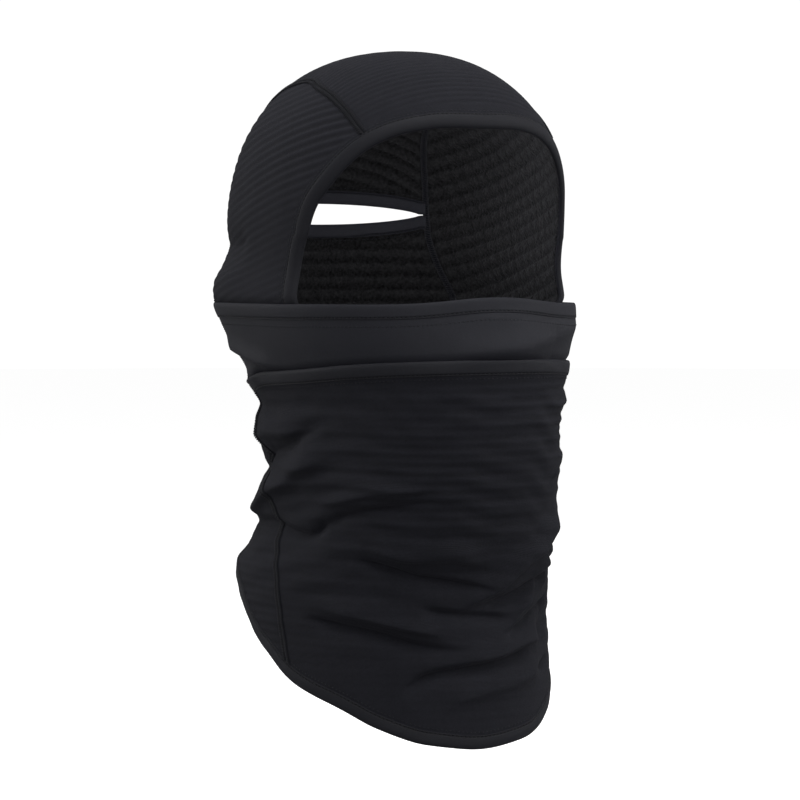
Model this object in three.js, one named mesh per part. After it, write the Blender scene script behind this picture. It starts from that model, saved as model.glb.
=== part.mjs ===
// Ski balaclava: a stretch grid-fleece hood with a ponytail slit, a pull-down jersey
// mask and a long fleece neck gaiter, cut as panels that meet at two flatlock seams.
// Millimetres. +Z is up, the face looks along -Y and +X is the wearer's left.
// The origin is the middle of the head, level with the brow.
import * as THREE from 'three';
import { mergeVertices } from 'three/addons/utils/BufferGeometryUtils.js';

// ---- driving dimensions ------------------------------------------------------------
const CROWN_HEIGHT = 94; // top of the hood above the brow plane
const ROUNDNESS = 2.26; // exponent of the superellipse that every level section follows
const LEVEL_STEP = 100; // height below the brow plane that one unit of the map covers

// Level sections of the worn shape, from the brow plane down: half width, reach in
// front, reach behind, and how much narrower the front half is than the back half.
const SECTIONS = [
  { height: 0, side: 80, front: 99, back: 99.5, egg: 0.035 },
  { height: -18, side: 80, front: 100, back: 100, egg: 0.045 },
  { height: -35, side: 82, front: 102, back: 100, egg: 0.05 },
  { height: -52, side: 79.5, front: 105, back: 91, egg: 0.05 },
  { height: -70, side: 74, front: 106, back: 67, egg: 0.04 },
  { height: -90, side: 71, front: 106, back: 56, egg: 0.03 },
  { height: -120, side: 70, front: 102, back: 54, egg: 0.03 },
  { height: -150, side: 70.5, front: 93, back: 64, egg: 0.05 },
  { height: -172, side: 75, front: 84, back: 86, egg: 0.1 },
  { height: -210, side: 75, front: 84, back: 92, egg: 0.1 },
  { height: -256, side: 75.5, front: 87, back: 94, egg: 0.09 },
];

const FLEECE = 1.6; // thickness of the grid fleece
const JERSEY = 1.0; // thickness of the mask's smooth jersey
const TAPE = 2.8; // thickness of a binding tape folded round fleece
const MASK_TAPE = 2.2; // thickness of the tape folded round the mask's edge
const TAPE_WIDTH = 7.5; // width of the bindings round the face, slit, mask and gaiter
const HEM_WIDTH = 7; // width of the binding round the hem
const SEAM_WIDTH = 4; // width of a flatlock seam
const SEAM_RIDGE = 1.25; // how far a flatlock seam reaches either side of the cloth
const STITCH_WIDTH = 2; // width of a coverstitch row
const STITCH_GAP = 0.45; // clearance between a coverstitch row and the tape under it
const STITCH_RISE = 0.5; // thickness of a coverstitch row
const GAP = 0.3; // clearance between neighbouring pieces
const CUT_GAP = 1; // clearance along a panel's cut edge, where its facets leave the curve
const MASK_DEPTH = 3; // how far the mask sinks under the gaiter
const HOOD_DEPTH_AT_MASK = 3.8; // how far the hood sinks under the mask
const HOOD_DEPTH_AT_GAITER = 7.2; // how far the hood sinks under mask and gaiter
const TUCK = 10; // height over which a layer sinks under the next one
const HOOD_BOTTOM = -100; // lower edge of the hood sides, inside the gaiter
const MASK_BOTTOM = -110; // lower edge of the mask, inside the gaiter
const SEAM_SPLIT = -29; // where the crown seams end and the neck seams begin
const SEAM_FADE = 14; // height over which a neck seam thins out below the inner layers
const STITCH_INSET = 0.6; // from a tape's sewn edge to its coverstitch
const PANEL_CELL = 13.5; // length of a panel's facets
const TAPE_CELL = 9; // length of the facets of bindings and seams

// Half outlines, as [angle from the face in degrees, height]
const FACE_EDGE = [
  [0, 52.4], [20.4, 51.6], [34.4, 47.8], [46.3, 40.1], [57.5, 25.4], [64.5, 12.1],
  [68.7, -4], [71.5, -21], [71.5, -45], [73, -70], [78, -92], [82, -108],
];
const SEAM_LINE = [
  [38, 36], [48.4, 50.6], [54, 57.6], [63.8, 66], [77.8, 73], [92.5, 77.9],
  [117.6, 72.7], [136.4, 54.8], [137.8, 25.4], [137.1, 3.7], [134.3, -13.1],
  [131, -30], [121, -68], [108, -92], [97, -116.7], [91, -132], [87.5, -152],
  [84, -172], [81, -200], [78, -222], [77, -236],
];
const HEM_EDGE = [
  [0, -254], [22, -250.5], [42, -242.5], [62, -231.5], [78, -222.5], [92, -207],
  [106, -187], [128, -169.5], [155, -157.5], [180, -154],
];

// Ponytail slit, measured from the middle of the back
const SLIT_END = 39.4; // degrees from the middle to each end
const SLIT_HEIGHT = 11.6;
const SLIT_UP = 5.7;
const SLIT_DOWN = 5;

// ---- the worn shape ----------------------------------------------------------------
const degrees = THREE.MathUtils.degToRad;
const rounded = (value) => Math.sign(value) * Math.abs(value) ** (2 / ROUNDNESS);
const smooth = (from, to, value) => THREE.MathUtils.smoothstep(value, from, to);

// A cubic through the level sections, whose slope at each one is its neighbours'
function section(height) {
  const last = SECTIONS.length - 1;
  let i = 0;
  while (i < last - 1 && height < SECTIONS[i + 1].height) {
    i += 1;
  }
  const [before, here, next, after] = [i - 1, i, i + 1, i + 2].map(
    (k) => SECTIONS[THREE.MathUtils.clamp(k, 0, last)],
  );
  const span = next.height - here.height;
  const t = (height - here.height) / span;
  const result = {};
  for (const key of ['side', 'front', 'back', 'egg']) {
    let start = 0;
    if (i > 0) {
      start = ((next[key] - before[key]) / (next.height - before.height)) * span;
    }
    const end = ((after[key] - here[key]) / (after.height - here.height)) * span;
    const rise = (3 - 2 * t) * t * t;
    const lead = t * (t - 1) * (t - 1) * start + t * t * (t - 1) * end;
    result[key] = here[key] + (next[key] - here[key]) * rise + lead;
  }
  return result;
}

// The map lays the shape out flat: its middle is the crown, its unit circle the brow
// plane, and the face side is down. A place on it is [across, up].
function place(angle, height) {
  const low = 1 - height / LEVEL_STEP;
  const high = (2 / Math.PI) * Math.acos((Math.max(height, 0) / CROWN_HEIGHT) ** (ROUNDNESS / 2));
  const reach = height < 0 ? low : high;
  return [reach * Math.sin(degrees(angle)), -reach * Math.cos(degrees(angle))];
}

function angleAndHeight([across, up]) {
  const reach = Math.hypot(across, up);
  const angle = Math.atan2(across, -up);
  const height = reach < 1
    ? CROWN_HEIGHT * Math.cos((reach * Math.PI) / 2) ** (2 / ROUNDNESS)
    : (1 - reach) * LEVEL_STEP;
  return { angle, height, reach };
}

// The cloth is slack at the back corners, just above the mask
function puff(angle, height) {
  const away = (Math.abs(THREE.MathUtils.radToDeg(angle)) - 128) / 38;
  return 0.053 * Math.exp(-(((height + 30) / 15) ** 2) - away ** 2);
}

function surface(spot) {
  const { angle, height, reach } = angleAndHeight(spot);
  const { side, front, back, egg } = section(Math.min(height, 0));
  const shrink = reach < 1 ? Math.sin((reach * Math.PI) / 2) ** (2 / ROUNDNESS) : 1;
  const ahead = rounded(Math.cos(angle));
  const aside = rounded(Math.sin(angle));
  return new THREE.Vector3(
    side * shrink * aside * (1 - egg * ahead) * (1 + puff(angle, height)),
    -(ahead > 0 ? front : back) * shrink * ahead,
    height,
  );
}

const PROBE = 0.004; // step on the map that slopes are measured over
function slopes([across, up]) {
  const east = surface([across + PROBE, up]).sub(surface([across - PROBE, up]));
  const north = surface([across, up + PROBE]).sub(surface([across, up - PROBE]));
  const normal = new THREE.Vector3().crossVectors(east, north).normalize();
  return { east, north, normal };
}

// The place on the map that lies `step`, a short vector in space, from a spot
function moved(spot, step) {
  const { east, north } = slopes(spot);
  const target = surface(spot).add(step);
  let [across, up] = spot;
  const [a, b, c] = [east.dot(east), east.dot(north), north.dot(north)];
  for (let pass = 0; pass < 6; pass += 1) {
    const left = target.clone().sub(surface([across, up]));
    const [p, q] = [left.dot(east), left.dot(north)];
    across += (2 * PROBE * (c * p - b * q)) / (a * c - b * b);
    up += (2 * PROBE * (a * q - b * p)) / (a * c - b * b);
  }
  return [across, up];
}

// ---- curves on the map: functions of t from 0 to 1 ------------------------------------
function through(outline, closed = false) {
  const points = outline.map(([angle, height]) => {
    const [across, up] = place(angle, height);
    return new THREE.Vector3(across, up, 0);
  });
  const curve = new THREE.CatmullRomCurve3(points, closed, 'centripetal');
  return (t) => {
    const share = closed ? t - Math.floor(t) : THREE.MathUtils.clamp(t, 0, 1);
    const { x, y } = curve.getPointAt(share);
    return [x, y];
  };
}

const onSide = (outline, side) => outline.map(([angle, height]) => [side * angle, height]);

// A curve at a height that depends on the angle, from one angle to another
const around = (heightAt, from, to) => (t) => {
  const angle = from + (to - from) * t;
  return place(angle, heightAt(angle));
};

// The same curve, moved sideways by `width` to the left of its direction
const shifted = (curve, width) => (t) => {
  const step = 0.004;
  const along = surface(curve(t + step)).sub(surface(curve(t - step))).normalize();
  const { normal } = slopes(curve(t));
  return moved(curve(t), normal.cross(along).normalize().multiplyScalar(width));
};

const stretch = (curve, from, to) => (t) => curve(from + (to - from) * t);

// Where two curves cross, as a share of the first one's length
function crossing(first, second) {
  const count = 160;
  const places = (curve) => Array.from({ length: count + 1 }, (_, i) => curve(i / count));
  const [a, b] = [places(first), places(second)];
  for (let i = 0; i < count; i += 1) {
    const [dx, dy] = [a[i + 1][0] - a[i][0], a[i + 1][1] - a[i][1]];
    for (let j = 0; j < count; j += 1) {
      const [ex, ey] = [b[j + 1][0] - b[j][0], b[j + 1][1] - b[j][1]];
      const [gx, gy] = [b[j][0] - a[i][0], b[j][1] - a[i][1]];
      const turn = dx * ey - dy * ex;
      const p = (gx * ey - gy * ex) / turn;
      const q = (gx * dy - gy * dx) / turn;
      if (p >= 0 && p <= 1 && q >= 0 && q <= 1) {
        return (i + p) / count;
      }
    }
  }
  throw new Error('these two curves do not cross');
}

// The stretch of a curve between the two curves that cross it
const between = (curve, start, end) => (
  stretch(curve, crossing(curve, start), crossing(curve, end))
);

function lengthOf(curve) {
  const count = 40;
  let length = 0;
  for (let i = 0; i < count; i += 1) {
    length += surface(curve(i / count)).distanceTo(surface(curve((i + 1) / count)));
  }
  return length;
}

// ---- cloth: closed solids between an inner and an outer face ---------------------------
const mix = (a, b, t) => [a[0] + (b[0] - a[0]) * t, a[1] + (b[1] - a[1]) * t];

// A panel that fills the space inside four curves: low and high run one way, start
// and end the other way, and they meet at the corners
function fill(low, high, start, end) {
  return (s, t) => {
    const ruled = mix(low(s), high(s), t);
    const crossed = mix(start(t), end(t), s);
    const corners = mix(mix(low(0), low(1), s), mix(high(0), high(1), s), t);
    return [0, 1].map((k) => ruled[k] + crossed[k] - corners[k]);
  };
}

// A strip between two curves that run side by side
const strip = (low, high) => (s, t) => mix(low(s), high(s), t);

// `inner` and `outer` give the depth of the two faces, along the shape's normal
function cloth(spotAt, columns, rows, inner, outer, closed = false) {
  const count = closed ? columns : columns + 1;
  const positions = [];
  for (const depth of [inner, outer]) {
    for (let j = 0; j <= rows; j += 1) {
      for (let i = 0; i < count; i += 1) {
        const spot = spotAt(i / columns, j / rows);
        const { angle, height } = angleAndHeight(spot);
        const lift = depth(Math.abs(THREE.MathUtils.radToDeg(angle)), height);
        positions.push(surface(spot).addScaledVector(slopes(spot).normal, lift));
      }
    }
  }
  const at = (i, j, face) => (face * (rows + 1) + j) * count + (i % count);
  const indices = [];
  const quad = (a, b, c, d) => indices.push(a, b, c, a, c, d);
  for (let i = 0; i < columns; i += 1) {
    for (let j = 0; j < rows; j += 1) {
      quad(at(i, j, 1), at(i + 1, j, 1), at(i + 1, j + 1, 1), at(i, j + 1, 1));
      quad(at(i, j, 0), at(i, j + 1, 0), at(i + 1, j + 1, 0), at(i + 1, j, 0));
    }
    quad(at(i, 0, 0), at(i + 1, 0, 0), at(i + 1, 0, 1), at(i, 0, 1));
    quad(at(i, rows, 0), at(i, rows, 1), at(i + 1, rows, 1), at(i + 1, rows, 0));
  }
  for (let j = 0; j < rows && !closed; j += 1) {
    quad(at(0, j, 0), at(0, j, 1), at(0, j + 1, 1), at(0, j + 1, 0));
    quad(at(columns, j, 0), at(columns, j + 1, 0), at(columns, j + 1, 1), at(columns, j, 1));
  }
  const grid = new THREE.BufferGeometry().setFromPoints(positions);
  grid.setIndex(indices);
  return facingOut(withoutSlivers(mergeVertices(grid, 0.001)));
}

// Where two edges of a strip start at one point, facets of no area are left out
function withoutSlivers(geometry) {
  const { array } = geometry.getIndex();
  const kept = [];
  for (let i = 0; i < array.length; i += 3) {
    const [a, b, c] = array.slice(i, i + 3);
    if (a !== b && b !== c && c !== a) {
      kept.push(a, b, c);
    }
  }
  geometry.setIndex(kept);
  return geometry;
}

// Turns the faces round if they point inwards
function facingOut(geometry) {
  const index = geometry.getIndex();
  const position = geometry.getAttribute('position');
  const [a, b, c] = [new THREE.Vector3(), new THREE.Vector3(), new THREE.Vector3()];
  let volume = 0;
  for (let i = 0; i < index.count; i += 3) {
    a.fromBufferAttribute(position, index.getX(i));
    b.fromBufferAttribute(position, index.getX(i + 1));
    c.fromBufferAttribute(position, index.getX(i + 2));
    volume += a.dot(b.cross(c));
  }
  if (volume < 0) {
    index.array.reverse();
  }
  geometry.computeVertexNormals();
  return geometry;
}

// ---- layers: how deep each piece lies ------------------------------------------------
const NOSE = { rise: 3.3, width: 20 }; // the mask's edge stands a little higher here
const maskTop = (angle) => -34.6 + NOSE.rise * Math.exp(-((angle / NOSE.width) ** 2));
const gaiterTop = (angle) => -61.4 - 9 * (Math.abs(angle) / 100) ** 2.2;
const below = (edge, width) => (angle) => edge(angle) - width;

// 0 well above an edge, 1 from just above it down
const under = (edge, angle, height) => smooth(-TUCK, -1.5, edge(angle) - height);

// The hood sinks a little higher up than the mask does, which keeps it clear
const aboveGaiter = below(gaiterTop, -TUCK);
const hoodLift = (angle, height) => (
  -HOOD_DEPTH_AT_MASK * under(maskTop, angle, height)
  - (HOOD_DEPTH_AT_GAITER - HOOD_DEPTH_AT_MASK) * under(aboveGaiter, angle, height)
);
const maskLift = (angle, height) => -MASK_DEPTH * under(gaiterTop, angle, height);
const flat = () => 0;
const offset = (lift, by) => (angle, height) => lift(angle, height) + by;

function layer(spotAt, columns, rows, lift, thickness, closed) {
  const half = thickness / 2;
  return cloth(spotAt, columns, rows, offset(lift, -half), offset(lift, half), closed);
}

// ---- lines that the pieces share --------------------------------------------------------
const RIGHT = -1;
const LEFT = 1;
const faceEdge = through([...onSide(FACE_EDGE, RIGHT).slice(1).reverse(), ...FACE_EDGE]);
const faceTape = shifted(faceEdge, TAPE_WIDTH);
const faceCut = shifted(faceEdge, TAPE_WIDTH + CUT_GAP);

// The hem is a ring that runs from the front over the wearer's left to the back
const hemRight = onSide(HEM_EDGE, RIGHT).slice(1, -1).reverse();
const hemEdge = through([...HEM_EDGE, ...hemRight], true);
const hemCut = shifted(hemEdge, HEM_WIDTH + CUT_GAP);
// The same ring from the back over the wearer's right to the front
const hemCutFromBack = (t) => hemCut(t + 0.5);

const seam = (side) => through(onSide(SEAM_LINE, side));
// The line beside a seam, towards the face or towards the back
const seamSide = (side, towards, width) => shifted(seam(side), side * towards * width);
const seamCut = (side, towards) => seamSide(side, towards, SEAM_WIDTH / 2 + CUT_GAP);
const TO_FACE = -1;
const TO_BACK = 1;

const slitShape = (angle) => {
  const share = (180 - Math.abs(angle)) / SLIT_END;
  return Math.max(0, 1 - share * share) ** 0.75;
};
const slitUpper = (angle) => SLIT_HEIGHT + GAP / 2 + SLIT_UP * slitShape(angle);
const slitLower = (angle) => SLIT_HEIGHT - GAP / 2 - SLIT_DOWN * slitShape(angle);
const BACK_SPAN = 55; // degrees either way from the middle of the back
const overBack = (heightAt) => around(heightAt, 180 + BACK_SPAN, 180 - BACK_SPAN);
const FRONT_SPAN = 150; // degrees either way from the middle of the face
const overFront = (heightAt) => around(heightAt, -FRONT_SPAN, FRONT_SPAN);

// ---- pieces --------------------------------------------------------------------------------
const balaclava = new THREE.Group();
const MATERIALS = {
  fleece: { color: 0x1e1e22, roughness: 0.92, metalness: 0 },
  jersey: { color: 0x26262a, roughness: 0.85, metalness: 0 },
  tape: { color: 0x232327, roughness: 0.8, metalness: 0 },
  thread: { color: 0x1a1a1e, roughness: 0.6, metalness: 0 },
};

function piece(name, material, geometry) {
  const mesh = new THREE.Mesh(geometry, new THREE.MeshStandardMaterial(MATERIALS[material]));
  mesh.name = name;
  balaclava.add(mesh);
}

const cells = (curve, size) => Math.max(2, Math.round(lengthOf(curve) / size));

// A panel between the two seams, from its upper line to its lower line
function addPanel(name, material, upper, lower, towards, lift, thickness) {
  const sides = [seamCut(RIGHT, towards), seamCut(LEFT, towards)];
  const [right, left] = sides.map((side) => between(side, upper, lower));
  const top = between(upper, ...sides);
  const bottom = between(lower, ...sides);
  const columns = Math.max(cells(top, PANEL_CELL), cells(bottom, PANEL_CELL));
  const rows = cells(right, PANEL_CELL);
  piece(name, material, layer(fill(top, bottom, right, left), columns, rows, lift, thickness));
}

// A binding along an edge, from one seam to the other, with its coverstitch on it.
// `line` gives the line that lies a given width from the edge.
function addTape(name, line, towards, lift, thickness, width = TAPE_WIDTH) {
  const sides = [seamCut(RIGHT, towards), seamCut(LEFT, towards)];
  const trimmed = (at) => between(line(at), ...sides);
  const stitched = width - STITCH_INSET;
  const tape = strip(trimmed(0), trimmed(width));
  const row = strip(trimmed(stitched - STITCH_WIDTH), trimmed(stitched));
  const columns = cells(trimmed(0), TAPE_CELL);
  const lower = offset(lift, thickness / 2 + STITCH_GAP);
  const upper = offset(lift, thickness / 2 + STITCH_GAP + STITCH_RISE);
  piece(`${name}_binding`, 'tape', layer(tape, columns, 1, lift, thickness));
  piece(`${name}_stitching`, 'thread', cloth(row, columns, 1, lower, upper));
}

// ---- hood --------------------------------------------------------------------------------
const slitUpperLine = (width) => overBack((angle) => slitUpper(angle) + width);
const slitLowerLine = (width) => overBack((angle) => slitLower(angle) - width);
const slitUpperCut = slitUpperLine(TAPE_WIDTH + CUT_GAP);
const slitLowerCut = slitLowerLine(TAPE_WIDTH + CUT_GAP);

addPanel('crown_panel', 'fleece', faceCut, slitUpperCut, TO_BACK, flat, FLEECE);
addPanel('back_panel', 'fleece', slitLowerCut, hemCut, TO_BACK, flat, FLEECE);
addTape('slit_upper', slitUpperLine, TO_BACK, flat, TAPE);
addTape('slit_lower', slitLowerLine, TO_BACK, flat, TAPE);

const level = (height, side) => around(() => height, side * 60, side * 170);

function addHoodSide(name, side) {
  const bottom = level(HOOD_BOTTOM, side);
  const front = between(faceCut, seamCut(side, TO_FACE), bottom);
  const back = between(seamCut(side, TO_FACE), faceCut, bottom);
  const columns = cells(back, TAPE_CELL);
  const rows = cells(strip(front, back).bind(null, 0.5), PANEL_CELL);
  piece(name, 'fleece', layer(strip(front, back), columns, rows, hoodLift, FLEECE));
}
addHoodSide('hood_side_right', RIGHT);
addHoodSide('hood_side_left', LEFT);

function addFaceTape() {
  const columns = cells(faceEdge, TAPE_CELL);
  const tape = strip(faceEdge, shifted(faceEdge, TAPE_WIDTH));
  const stitched = TAPE_WIDTH - STITCH_INSET;
  const row = strip(shifted(faceEdge, stitched - STITCH_WIDTH), shifted(faceEdge, stitched));
  const lower = offset(hoodLift, TAPE / 2 + STITCH_GAP);
  const upper = offset(hoodLift, TAPE / 2 + STITCH_GAP + STITCH_RISE);
  piece('face_binding', 'tape', layer(tape, columns, 1, hoodLift, TAPE));
  piece('face_stitching', 'thread', cloth(row, columns, 1, lower, upper));
}
addFaceTape();

// ---- mask and gaiter -------------------------------------------------------------------------
const maskLine = (width) => overFront(below(maskTop, width));
const gaiterLine = (width) => overFront(below(gaiterTop, width));
const maskCut = maskLine(TAPE_WIDTH + CUT_GAP);
const gaiterCut = gaiterLine(TAPE_WIDTH + CUT_GAP);
const maskBottom = overFront(() => MASK_BOTTOM);

addPanel('mask_panel', 'jersey', maskCut, maskBottom, TO_FACE, maskLift, JERSEY);
addTape('mask', maskLine, TO_FACE, flat, MASK_TAPE);
addPanel('gaiter_panel', 'fleece', gaiterCut, hemCutFromBack, TO_FACE, flat, FLEECE);
addTape('gaiter', gaiterLine, TO_FACE, flat, TAPE);

function addHemTape() {
  const columns = cells(hemEdge, TAPE_CELL);
  const tape = strip(hemEdge, shifted(hemEdge, HEM_WIDTH));
  const stitched = HEM_WIDTH - STITCH_INSET;
  const row = strip(shifted(hemEdge, stitched - STITCH_WIDTH), shifted(hemEdge, stitched));
  const lower = offset(flat, TAPE / 2 + STITCH_GAP);
  const upper = offset(flat, TAPE / 2 + STITCH_GAP + STITCH_RISE);
  piece('hem_binding', 'tape', layer(tape, columns, 1, flat, TAPE, true));
  piece('hem_stitching', 'thread', cloth(row, columns, 1, lower, upper, true));
}
addHemTape();

// ---- seams -----------------------------------------------------------------------------------
// The neck seams also take in the hood's and the mask's edges, inside the gaiter
const seamInner = (angle, height) => {
  const fade = smooth(MASK_BOTTOM - SEAM_FADE, MASK_BOTTOM, height);
  return hoodLift(angle, height) * fade - SEAM_RIDGE;
};

function addSeam(name, side, start, end) {
  const edges = [TO_FACE, TO_BACK].map((towards) => seamSide(side, towards, SEAM_WIDTH / 2));
  const [front, back] = edges.map((edge) => between(edge, start, end));
  const columns = cells(front, TAPE_CELL);
  const ridge = offset(flat, SEAM_RIDGE);
  piece(name, 'thread', cloth(strip(front, back), columns, 1, seamInner, ridge));
}

for (const [word, side] of [['right', RIGHT], ['left', LEFT]]) {
  addSeam(`crown_seam_${word}`, side, faceCut, level(SEAM_SPLIT + GAP / 2, side));
  addSeam(`neck_seam_${word}`, side, level(SEAM_SPLIT - GAP / 2, side), hemCut);
}

export default balaclava;
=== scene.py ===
"""Looks of the ski balaclava: knitted panels, folded tapes, thread and studio light.

Lengths are in millimetres until a mesh is made, and angles are in degrees round the
head from the face, positive to the wearer's left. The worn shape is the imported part's.
"""

import math

import bpy
import numpy as np
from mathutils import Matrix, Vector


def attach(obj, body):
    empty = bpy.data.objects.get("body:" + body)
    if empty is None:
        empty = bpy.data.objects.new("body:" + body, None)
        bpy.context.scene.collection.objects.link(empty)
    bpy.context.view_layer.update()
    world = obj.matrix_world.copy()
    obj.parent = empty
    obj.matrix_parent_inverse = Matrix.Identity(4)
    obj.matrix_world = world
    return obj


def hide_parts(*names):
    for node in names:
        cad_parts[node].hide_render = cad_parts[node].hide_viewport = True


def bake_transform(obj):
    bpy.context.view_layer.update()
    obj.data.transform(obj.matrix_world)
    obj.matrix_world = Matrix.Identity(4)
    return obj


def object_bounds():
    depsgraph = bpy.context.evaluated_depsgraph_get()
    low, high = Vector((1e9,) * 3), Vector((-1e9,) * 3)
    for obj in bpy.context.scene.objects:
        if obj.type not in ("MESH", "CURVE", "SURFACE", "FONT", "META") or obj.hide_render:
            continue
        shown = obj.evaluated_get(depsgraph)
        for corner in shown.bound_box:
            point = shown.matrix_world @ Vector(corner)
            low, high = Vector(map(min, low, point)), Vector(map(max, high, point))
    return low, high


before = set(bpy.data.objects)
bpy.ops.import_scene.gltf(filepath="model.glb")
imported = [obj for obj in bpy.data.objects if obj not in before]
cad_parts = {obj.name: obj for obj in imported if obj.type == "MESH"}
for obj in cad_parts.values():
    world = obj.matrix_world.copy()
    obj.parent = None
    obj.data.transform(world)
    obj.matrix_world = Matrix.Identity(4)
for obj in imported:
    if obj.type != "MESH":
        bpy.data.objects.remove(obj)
cad_low, cad_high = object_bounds()

MM = 0.001
RIGHT, LEFT = -1, 1
TO_FACE, TO_BACK = -1, 1

# ---- the worn shape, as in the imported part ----
CROWN_HEIGHT = 94.0
ROUNDNESS = 2.26
LEVEL_STEP = 100.0
# height, half width, reach in front, reach behind, egg
SECTIONS = np.array([
    [0, 80, 99, 99.5, 0.035],
    [-18, 80, 100, 100, 0.045],
    [-35, 82, 102, 100, 0.05],
    [-52, 79.5, 105, 91, 0.05],
    [-70, 74, 106, 67, 0.04],
    [-90, 71, 106, 56, 0.03],
    [-120, 70, 102, 54, 0.03],
    [-150, 70.5, 93, 64, 0.05],
    [-172, 75, 84, 86, 0.1],
    [-210, 75, 84, 92, 0.1],
    [-256, 75.5, 87, 94, 0.09],
])
FACE_EDGE = [
    (0, 52.4), (20.4, 51.6), (34.4, 47.8), (46.3, 40.1), (57.5, 25.4), (64.5, 12.1),
    (68.7, -4), (71.5, -21), (71.5, -45), (73, -70), (78, -92), (82, -108),
]
SEAM_LINE = [
    (38, 36), (48.4, 50.6), (54, 57.6), (63.8, 66), (77.8, 73), (92.5, 77.9),
    (117.6, 72.7), (136.4, 54.8), (137.8, 25.4), (137.1, 3.7), (134.3, -13.1),
    (131, -30), (121, -68), (108, -92), (97, -116.7), (91, -132), (87.5, -152),
    (84, -172), (81, -200), (78, -222), (77, -236),
]
HEM_EDGE = [
    (0, -254), (22, -250.5), (42, -242.5), (62, -231.5), (78, -222.5), (92, -207),
    (106, -187), (128, -169.5), (155, -157.5), (180, -154),
]
SLIT_END, SLIT_HEIGHT, SLIT_UP, SLIT_DOWN = 39.4, 11.6, 5.7, 5.0
SLIT_GAP = 0.15

FLEECE, JERSEY = 1.5, 0.9
TAPE_WIDTH, HEM_WIDTH = 7.5, 7.0
TAPE, MASK_TAPE = 2.7, 2.0
MASK_TUCK, MASK_DEPTH = 0.8, 2.5
HOOD_DEPTH_AT_MASK, HOOD_DEPTH_AT_GAITER = 1.6, 5.6
TUCK = 5.0
HOOD_BOTTOM, MASK_BOTTOM = -100.0, -110.0

COUNT = 480  # steps in every line on the map


def section(height):
    """Half width, front, back and egg at heights at or below the brow plane."""
    h = SECTIONS[:, 0]
    last = len(h) - 1
    slope = np.zeros_like(SECTIONS[:, 1:])
    slope[1:last] = (SECTIONS[2:, 1:] - SECTIONS[:-2, 1:]) / (h[2:] - h[:-2])[:, None]
    slope[last] = (SECTIONS[last, 1:] - SECTIONS[last - 1, 1:]) / (h[last] - h[last - 1])
    i = np.clip(np.searchsorted(-h, -height, side="right") - 1, 0, last - 1)
    span = h[i + 1] - h[i]
    t = ((height - h[i]) / span)[..., None]
    rise = (3 - 2 * t) * t * t
    lead = t * (t - 1) ** 2 * slope[i] + t * t * (t - 1) * slope[i + 1]
    low, high = SECTIONS[i, 1:], SECTIONS[i + 1, 1:]
    return np.moveaxis(low + (high - low) * rise + lead * span[..., None], -1, 0)


def rounded(value):
    return np.sign(value) * np.abs(value) ** (2 / ROUNDNESS)


def place(angle, height):
    """A place on the map: its middle is the crown and its unit circle the brow plane."""
    angle, height = np.radians(angle), np.asarray(height, float)
    share = (np.clip(height, 0, CROWN_HEIGHT) / CROWN_HEIGHT) ** (ROUNDNESS / 2)
    reach = np.where(height < 0, 1 - height / LEVEL_STEP, 2 / np.pi * np.arccos(share))
    return np.stack([reach * np.sin(angle), -reach * np.cos(angle)], -1)


def polar(spots):
    """Angle in degrees, height and reach of places on the map."""
    reach = np.hypot(spots[..., 0], spots[..., 1])
    angle = np.arctan2(spots[..., 0], -spots[..., 1])
    cosine = np.clip(np.cos(np.minimum(reach, 1) * np.pi / 2), 0, 1)
    height = np.where(
        reach < 1, CROWN_HEIGHT * cosine ** (2 / ROUNDNESS), (1 - reach) * LEVEL_STEP
    )
    return np.degrees(angle), height, reach


def worn(spots):
    """Points in space of places on the map."""
    angle, height, reach = polar(spots)
    side, front, back, egg = section(np.minimum(height, 0))
    shrink = np.sin(np.minimum(reach, 1) * np.pi / 2) ** (2 / ROUNDNESS)
    ahead = rounded(np.cos(np.radians(angle)))
    aside = rounded(np.sin(np.radians(angle)))
    slack = -(((height + 30) / 15) ** 2) - ((np.abs(angle) - 128) / 38) ** 2
    puff = 1 + 0.053 * np.exp(slack)
    x = side * shrink * aside * (1 - egg * ahead) * puff
    y = -np.where(ahead > 0, front, back) * shrink * ahead
    return np.stack([x, y, height], -1)


PROBE = 0.004


def slopes(spots):
    step = np.array([PROBE, 0.0])
    east = worn(spots + step) - worn(spots - step)
    step = np.array([0.0, PROBE])
    north = worn(spots + step) - worn(spots - step)
    normal = np.cross(east, north)
    return east, north, normal / np.linalg.norm(normal, axis=-1, keepdims=True)


def moved(spots, steps):
    """The places that lie `steps`, short vectors in space, from `spots`."""
    east, north, _ = slopes(spots)
    target = worn(spots) + steps
    spots = spots.copy()
    a = (east * east).sum(-1)
    b = (east * north).sum(-1)
    c = (north * north).sum(-1)
    for _ in range(6):
        left = target - worn(spots)
        p, q = (left * east).sum(-1), (left * north).sum(-1)
        scale = 2 * PROBE / (a * c - b * b)
        spots[..., 0] += scale * (c * p - b * q)
        spots[..., 1] += scale * (a * q - b * p)
    return spots


# ---- lines on the map: COUNT + 1 places at even steps ----
def resampled(line, start=0.0, end=1.0, count=COUNT):
    """The stretch of a line from one share of its length to another."""
    length = np.r_[0, np.cumsum(np.linalg.norm(np.diff(line, axis=0), axis=1))]
    at = np.linspace(start, end, count + 1) * length[-1]
    return np.stack([np.interp(at, length, line[:, k]) for k in range(2)], -1)


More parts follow.
